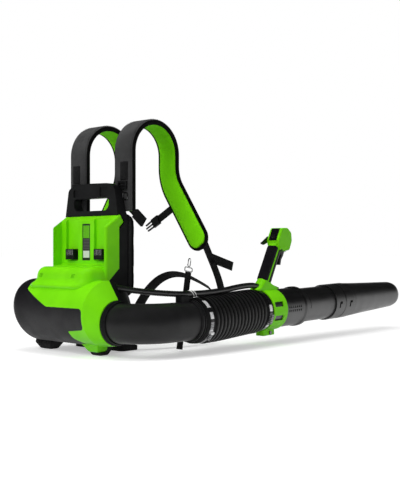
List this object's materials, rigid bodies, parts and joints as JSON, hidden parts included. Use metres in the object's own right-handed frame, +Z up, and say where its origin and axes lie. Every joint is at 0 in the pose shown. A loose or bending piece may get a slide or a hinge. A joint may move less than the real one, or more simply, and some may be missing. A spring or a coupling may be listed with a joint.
{
  "type": "backpack leaf blower",
  "caption": "Backpack leaf blower: fan barrel and open battery bays on a padded back plate, with an elbow, ribbed hose, control handle and long nozzle.",
  "frame": {"origin": "a point of the front foot's sole, on the ground, midway across the back plate", "axes": "+X is the wearer's right, +Y the wearer's front, where the nozzle points, and +Z is up"},
  "size_m": [0.6093, 1.3557, 0.6645],
  "materials": {
    "green_plastic": "satin",
    "black_plastic": "satin",
    "tube_plastic": "satin",
    "hose_plastic": "satin",
    "duct_plastic": "matte",
    "rubber": "matte",
    "grip_rubber": "matte",
    "window": "gloss",
    "pad_fabric": "matte",
    "strap_fabric": "matte",
    "webbing": "matte",
    "steel": "satin",
    "motor_steel": "satin",
    "aluminium": "satin",
    "board": "satin",
    "white_plastic": "satin"
  },
  "bodies": {
    "backpack": {"back_frame": "black_plastic", "carry_handle": "black_plastic", "front_foot": "rubber", "rear_feet": "rubber", "back_pad": "pad_fabric", "rear_housing": "green_plastic", "belt_cover": "black_plastic", "front_housing": "black_plastic", "intake_rim": "black_plastic", "intake_grille": "black_plastic", "fan_duct": "duct_plastic", "motor_can": "motor_steel", "motor_bearings": "steel", "stator": "duct_plastic", "controller_board": "board", "heat_sink": "aluminium", "battery_terminals": "black_plastic", "outlet_ring": "black_plastic", "elbow_duct": "tube_plastic", "hose_rear": "hose_plastic", "rear_clamp": "steel", "conduit_rear": "black_plastic", "conduit_mid": "black_plastic", "conduit_saddle": "black_plastic", "cable_ties": "white_plastic", "shoulder_strap_left": "strap_fabric", "shoulder_strap_right": "strap_fabric", "adjuster_webbing_right": "webbing", "adjuster_webbing_left": "webbing", "sternum_webbing": "webbing", "sternum_buckle_male": "black_plastic", "sternum_buckle_female": "black_plastic", "waist_belt": "webbing", "hook_strap": "webbing", "strap_ring": "steel", "snap_hook": "steel", "ladder_locks": "black_plastic", "strap_rings": "steel", "frame_screws": "steel"},
    "rotor": {"motor_shaft": "motor_steel", "fan_wheel": "duct_plastic", "fan_nut": "motor_steel"},
    "hose_middle": {"hose_mid": "hose_plastic"},
    "wand": {"hose_front": "hose_plastic", "front_clamp": "steel", "rear_tube": "tube_plastic", "handle_collar": "green_plastic", "collar_screw": "steel", "handle_shell_left": "green_plastic", "handle_shell_right": "green_plastic", "grip_sleeve": "grip_rubber", "display_window": "window", "trigger_pin": "steel", "conduit_front": "black_plastic"},
    "extension": {"front_tube": "tube_plastic"},
    "nozzle": {"nozzle": "tube_plastic"},
    "trigger": {"trigger": "black_plastic"},
    "cruise_lever": {"cruise_lever": "black_plastic"},
    "boost_button": {"boost_button": "black_plastic"},
    "hook_gate": {"hook_gate": "steel"}
  },
  "joints": [
    {"name": "fan_spin", "type": "hinge", "parent": "backpack", "child": "rotor", "pos_m": [0, -0.122, 0.091], "axis": [1, 0, 0], "continuous": true},
    {"name": "hose_yaw", "type": "hinge", "parent": "backpack", "child": "hose_middle", "pos_m": [0.285, 0.15302, 0.09242], "axis": [0, 0, 1], "range_deg": [-25, 8], "deforming": ["hose_rear", "conduit_mid"]},
    {"name": "hose_pitch", "type": "hinge", "parent": "hose_middle", "child": "wand", "pos_m": [0.285, 0.27422, 0.10057], "axis": [1, 0, 0], "range_deg": [-25, 20], "deforming": ["hose_front", "conduit_front"]},
    {"name": "tube_slide", "type": "slide", "parent": "wand", "child": "extension", "axis": [0, 0.9997, 0.0244], "range_m": [-0.027, 0]},
    {"name": "nozzle_twist", "type": "hinge", "parent": "extension", "child": "nozzle", "pos_m": [0.285, 0.73374, 0.11291], "axis": [0, 0.9997, 0.0244], "range_deg": [-10, 0]},
    {"name": "trigger_pull", "type": "hinge", "parent": "wand", "child": "trigger", "pos_m": [0.285, 0.47719, 0.28205], "axis": [1, 0, 0], "range_deg": [-14, 0], "stiffness_Nm_per_rad": 0.9, "springref_deg": 14.32},
    {"name": "cruise_lever_turn", "type": "hinge", "parent": "wand", "child": "cruise_lever", "pos_m": [0.285, 0.44604, 0.31918], "axis": [1, 0, 0], "range_deg": [-35, 0]},
    {"name": "boost_press", "type": "slide", "parent": "wand", "child": "boost_button", "axis": [0, 0.8813, -0.4726], "range_m": [0, 0.0015], "stiffness_N_per_m": 900, "springref_m": -0.001},
    {"name": "gate_open", "type": "hinge", "parent": "backpack", "child": "hook_gate", "pos_m": [0.2178, 0.12335, 0.24316], "axis": [1, 0, 0], "range_deg": [-20, 0], "stiffness_Nm_per_rad": 0.02, "springref_deg": 17.19}
  ]
}
